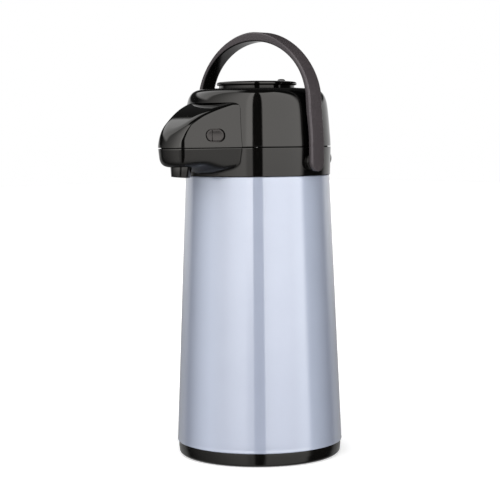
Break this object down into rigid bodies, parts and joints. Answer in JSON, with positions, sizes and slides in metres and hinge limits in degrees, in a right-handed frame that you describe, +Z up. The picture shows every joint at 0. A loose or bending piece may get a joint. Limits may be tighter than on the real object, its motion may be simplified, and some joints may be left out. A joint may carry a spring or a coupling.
{
  "type": "thermal coffee airpot",
  "caption": "Vacuum insulated pump airpot with a tapered painted steel body, dark plastic pump head and beak spout, hinged lid, press button, side latches and swing handle.",
  "frame": {"origin": "on the body axis, on the underside of the swivel foot's non-slip pad", "axes": "+Z up along the body axis, -Y towards the spout nose, +X towards the right handle leg seen from behind the spout"},
  "size_m": [0.1602, 0.2002, 0.407],
  "materials": {
    "head_plastic": "polished dark brown-black moulded plastic",
    "handle_plastic": "satin dark plastic",
    "base_plastic": "polished dark moulded plastic",
    "latch_plastic": "satin dark plastic",
    "inner_plastic": "plain dark plastic",
    "sleeve_paint": "satin metallic ice blue paint on thin steel",
    "steel": "plain bright steel",
    "natural_plastic": "translucent white food plastic",
    "seal_silicone": "soft translucent silicone",
    "bellows_rubber": "soft grey rubber",
    "rubber_black": "soft black rubber",
    "liner_glass": "silvered vacuum glass"
  },
  "bodies": {
    "foot": {"foot_pad": "rubber_black", "swivel_base": "base_plastic", "swivel_glide_ring": "natural_plastic", "swivel_washer": "steel", "swivel_screw": "steel"},
    "pot": {"base_cap": "base_plastic", "body_sleeve": "sleeve_paint", "liner_cushion": "seal_silicone", "liner_outer_bottle": "liner_glass", "liner_inner_bottle": "liner_glass", "neck_seal": "seal_silicone", "collar": "head_plastic", "siphon_seal": "seal_silicone", "siphon_flange": "natural_plastic", "dip_tube": "natural_plastic", "outlet_pipe": "natural_plastic", "nozzle": "head_plastic", "hinge_pin": "steel", "handle_pivot_pins": "steel"},
    "handle": {"handle": "handle_plastic"},
    "lid": {"lid_shell": "head_plastic", "spout_cover": "head_plastic", "lid_inner_plate": "inner_plastic", "lid_screws": "steel", "stopper_gasket": "seal_silicone", "bellows": "bellows_rubber", "return_spring": "steel"},
    "button": {"pressure_plate": "natural_plastic", "air_valve_disc": "seal_silicone", "pump_button": "head_plastic"},
    "lock": {"lock_slider": "latch_plastic"},
    "latch_left": {"latch_button_left": "latch_plastic", "latch_spring_left": "steel"},
    "latch_right": {"latch_button_right": "latch_plastic", "latch_spring_right": "steel"}
  },
  "joints": [
    {"name": "base_swivel", "type": "hinge", "parent": "foot", "child": "pot", "pos_m": [0, 0, 0.006], "axis": [0, 0, 1], "continuous": true},
    {"name": "lid_open", "type": "hinge", "parent": "pot", "child": "lid", "pos_m": [0, 0.0695, 0.2853], "axis": [-1, 0, 0], "range_deg": [0, 64]},
    {"name": "handle_swing", "type": "hinge", "parent": "pot", "child": "handle", "pos_m": [0, 0.0014, 0.2835], "axis": [-1, 0, 0], "range_deg": [0, 134.4]},
    {"name": "pump_press", "type": "slide", "parent": "lid", "child": "button", "axis": [0, 0, -1], "range_m": [0, 0.022], "deforming": ["bellows", "return_spring"]},
    {"name": "lock_slide", "type": "slide", "parent": "button", "child": "lock", "axis": [0, -1, 0], "range_m": [-0.004, 0]},
    {"name": "latch_left_press", "type": "slide", "parent": "lid", "child": "latch_left", "axis": [0.9397, 0.342, 0], "range_m": [0, 0.003]},
    {"name": "latch_right_press", "type": "slide", "parent": "lid", "child": "latch_right", "axis": [-0.9397, 0.342, 0], "range_m": [0, 0.003]}
  ],
  "couplings": [
    {"joint": "handle_swing", "follows": "lid_open", "ratio": 2.1}
  ]
}
